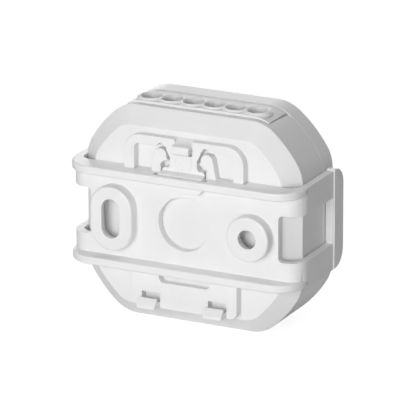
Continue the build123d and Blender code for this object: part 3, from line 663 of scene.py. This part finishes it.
class RELAY_OT_supply(Operator):
    """Finishes the pieces of the power supply"""

    bl_idname = "relay_looks.supply"
    bl_label = "Power supply"

    def execute(self, context):
        # Shrink sleeve over an aluminium can: near black, glossy and a little wavy.
        sleeve = grained("sleeve_shrunk", linear("20242C"), 3 * MM, 0.8 * MM, 0.01 * MM, rough=(0.2, 0.3), ior=1.5)
        dress(sleeve, "input_capacitor", "output_capacitor")
        # Ferrite, pressed and sintered: charcoal grey with open grain.
        ferrite = grained(
            "ferrite_sintered", linear("3A3A3C"), 2 * MM, 0.15 * MM, 0.01 * MM, tone=0.08, rough=(0.55, 0.7), ior=1.6,
        )
        dress(ferrite, "inductor_core")
        # Copper wire of 0.3 mm under clear enamel.
        dress(wound("copper_wire_thick", linear("B5632E"), 0.3 * MM, "Y"), "inductor_winding")
        # Potting case of filled polyester, dull yellow.
        yellow = grained(
            "polyester_yellow", linear("D6B843"), 4 * MM, 0.3 * MM, 0.003 * MM, rough=(0.4, 0.5), ior=1.55,
        )
        dress(yellow, "film_capacitor")
        # Epoxy, dipped: blue, glossy and slightly lumpy.
        blue = grained(
            "epoxy_dipped_blue", linear("2A5FA8"), 2 * MM, 0.9 * MM, 0.02 * MM, rough=(0.18, 0.28), ior=1.5,
        )
        dress(blue, "varistor")
        # Lacquer over a wound rod: grey green, softly glossy.
        lacquer = grained(
            "lacquer_grey_green", linear("6F8F86"), 2 * MM, 0.5 * MM, 0.008 * MM, rough=(0.25, 0.35), ior=1.5,
        )
        dress(lacquer, "fuse_resistor")
        # Mould compound of filled epoxy: black and dull.
        epoxy = grained(
            "epoxy_compound", linear("242426"), 1.5 * MM, 0.12 * MM, 0.003 * MM, rough=(0.5, 0.62), ior=1.55,
        )
        dress(epoxy, "bridge_rectifier", "power_chip")
        return {"FINISHED"}


# What the camera sees of the floor: its own glow, and the share of its paint that takes light and shadow
FLOOR_GLOW = 0.9
FLOOR_SHARE = 0.3

# Width of the camera's sensor in its own millimetres
SENSOR_WIDTH = 36

# Lamps: name, turn from the front towards +X, height angle, width, and watts at the lamp distance
LAMPS = (
    ("side_softbox", 20, 6, 0.3, 0.8),
    ("front_softbox", 0, 12, 0.3, 1.82),
    ("top_softbox", 20, 85, 0.4, 0.88),
    ("back_softbox", 200, 5, 0.4, 1.6),
)


def direction(azimuth, elevation):
    """The unit vector at a turn from the front towards +X and an angle above the horizon."""
    return Vector((
        math.sin(azimuth) * math.cos(elevation),
        -math.cos(azimuth) * math.cos(elevation),
        math.sin(elevation),
    ))


def object_middle():
    """The middle of the object's box."""
    return (cad_low + cad_high) / 2


class RELAY_OT_stage(Operator):
    """Lays the floor, hangs the lamps and sets the room's light"""

    bl_idname = "relay_looks.stage"
    bl_label = "Stage"

    def execute(self, context):
        settings = context.scene.relay_stage
        self.lay_floor(settings, list(context.scene.relay_colours.floor))
        self.hang_lamps(settings)
        self.light_room(context.scene, settings)
        context.scene.view_settings.view_transform = "Standard"
        return {"FINISHED"}

    def lay_floor(self, settings, colour):
        """A wide disc of pale paint that keeps the object's shadow and meets a white background."""
        shape = bmesh.new()
        bmesh.ops.create_circle(shape, cap_ends=True, segments=96, radius=settings.floor_radius)
        mesh = bpy.data.meshes.new("floor")
        shape.to_mesh(mesh)
        shape.free()
        floor = bpy.data.objects.new("floor", mesh)
        floor.location.z = cad_low.z - settings.floor_drop
        bpy.context.scene.collection.objects.link(floor)
        material, tree = new_tree("matt_paint")
        seen = add_node(tree, "ShaderNodeLightPath").outputs["Is Camera Ray"]
        paint = add_node(tree, "ShaderNodeBsdfDiffuse", inputs={"Color": colour}).outputs["BSDF"]
        faint = add_node(tree, "ShaderNodeBsdfDiffuse", inputs={"Color": shaded(colour, FLOOR_SHARE)}).outputs["BSDF"]
        glow = add_node(tree, "ShaderNodeEmission", inputs={
            "Color": (1, 1, 1, 1), "Strength": FLOOR_GLOW,
        }).outputs["Emission"]
        lit = add_node(tree, "ShaderNodeAddShader", inputs={0: faint, 1: glow}).outputs["Shader"]
        mixed = add_node(tree, "ShaderNodeMixShader", inputs={"Fac": seen, 1: paint, 2: lit}).outputs["Shader"]
        add_node(tree, "ShaderNodeOutputMaterial", inputs={"Surface": mixed})
        mesh.materials.append(material)

    def hang_lamps(self, settings):
        """Square softboxes that face the middle of the object."""
        for name, azimuth, elevation, width, watts in LAMPS:
            lamp = bpy.data.lights.new(name, "AREA")
            lamp.size = width
            lamp.energy = watts * settings.lamp_level
            light = bpy.data.objects.new(name, lamp)
            away = direction(math.radians(azimuth), math.radians(elevation))
            light.location = object_middle() + away * settings.lamp_distance
            light.rotation_mode = "QUATERNION"
            light.rotation_quaternion = (-away).to_track_quat("-Z", "Y")
            bpy.context.scene.collection.objects.link(light)

    def light_room(self, scene, settings):
        """White where the camera or a reflection looks, and an even light from all round for the rest."""
        world = bpy.data.worlds.new("studio")
        world.use_nodes = True
        tree = world.node_tree
        tree.nodes.clear()
        path = add_node(tree, "ShaderNodeLightPath")
        mirrored = add_node(tree, "ShaderNodeMath", {"operation": "MAXIMUM"}, {
            0: path.outputs["Is Glossy Ray"], 1: path.outputs["Is Transmission Ray"],
        })
        seen = add_node(tree, "ShaderNodeMath", {"operation": "MAXIMUM"}, {
            0: path.outputs["Is Camera Ray"], 1: mirrored.outputs["Value"],
        })
        room = add_node(tree, "ShaderNodeBackground", inputs={
            "Color": (1, 1, 1, 1), "Strength": settings.room_level,
        })
        white = add_node(tree, "ShaderNodeBackground", inputs={"Color": (1, 1, 1, 1), "Strength": 1.0})
        mixed = add_node(tree, "ShaderNodeMixShader", inputs={
            "Fac": seen.outputs["Value"], 1: room.outputs["Background"], 2: white.outputs["Background"],
        })
        add_node(tree, "ShaderNodeOutputWorld", inputs={"Surface": mixed.outputs["Shader"]})
        scene.world = world


class RELAY_OT_camera(Operator):
    """Sets the camera at the picture's viewing angle"""

    bl_idname = "relay_looks.camera"
    bl_label = "Camera"

    def execute(self, context):
        view = context.scene.relay_view
        back = direction(view.azimuth, view.elevation)
        right = Vector((math.cos(view.azimuth), math.sin(view.azimuth), 0))
        up = back.cross(right)
        aim = Vector((0, view.aim_depth, view.aim_height))
        turned_right = math.cos(view.roll) * right + math.sin(view.roll) * up
        turned_up = math.cos(view.roll) * up - math.sin(view.roll) * right
        data = bpy.data.cameras.new("camera")
        data.sensor_width = SENSOR_WIDTH
        data.lens = data.sensor_width * view.focal_share
        camera = bpy.data.objects.new("camera", data)
        place = aim + right * view.aim_right + up * view.aim_up + back * view.distance
        turn = Matrix((turned_right, turned_up, back)).transposed().to_4x4()
        camera.matrix_world = Matrix.Translation(place) @ turn
        context.scene.collection.objects.link(camera)
        context.scene.camera = camera
        return {"FINISHED"}


OPERATORS = (
    RELAY_OT_camera,
    RELAY_OT_housing,
    RELAY_OT_bracket,
    RELAY_OT_terminals,
    RELAY_OT_button,
    RELAY_OT_boards,
    RELAY_OT_relay,
    RELAY_OT_supply,
    RELAY_OT_stage,
)


class RELAY_PT_looks(Panel):
    """The relay module's sizes, colours and steps in the sidebar"""

    bl_idname = "RELAY_PT_looks"
    bl_label = "Relay module"
    bl_space_type = "VIEW_3D"
    bl_region_type = "UI"
    bl_category = "Relay"

    def draw(self, context):
        for name, group in SETTINGS:
            box = self.layout.box()
            for key in group.__annotations__:
                box.prop(getattr(context.scene, name), key)
        for operator in OPERATORS:
            self.layout.operator(operator.bl_idname)


def register():
    """Registers the settings, the steps and the panel."""
    for name, group in SETTINGS:
        bpy.utils.register_class(group)
        setattr(bpy.types.Scene, name, PointerProperty(type=group))
    for operator in OPERATORS:
        bpy.utils.register_class(operator)
    bpy.utils.register_class(RELAY_PT_looks)


def unregister():
    """Takes the panel, the steps and the settings away again."""
    bpy.utils.unregister_class(RELAY_PT_looks)
    for operator in reversed(OPERATORS):
        bpy.utils.unregister_class(operator)
    for name, group in reversed(SETTINGS):
        delattr(bpy.types.Scene, name)
        bpy.utils.unregister_class(group)


def main():
    """Runs every step in order."""
    register()
    for operator in OPERATORS:
        group, name = operator.bl_idname.split(".")
        getattr(getattr(bpy.ops, group), name)()


if __name__ == "__main__":
    main()
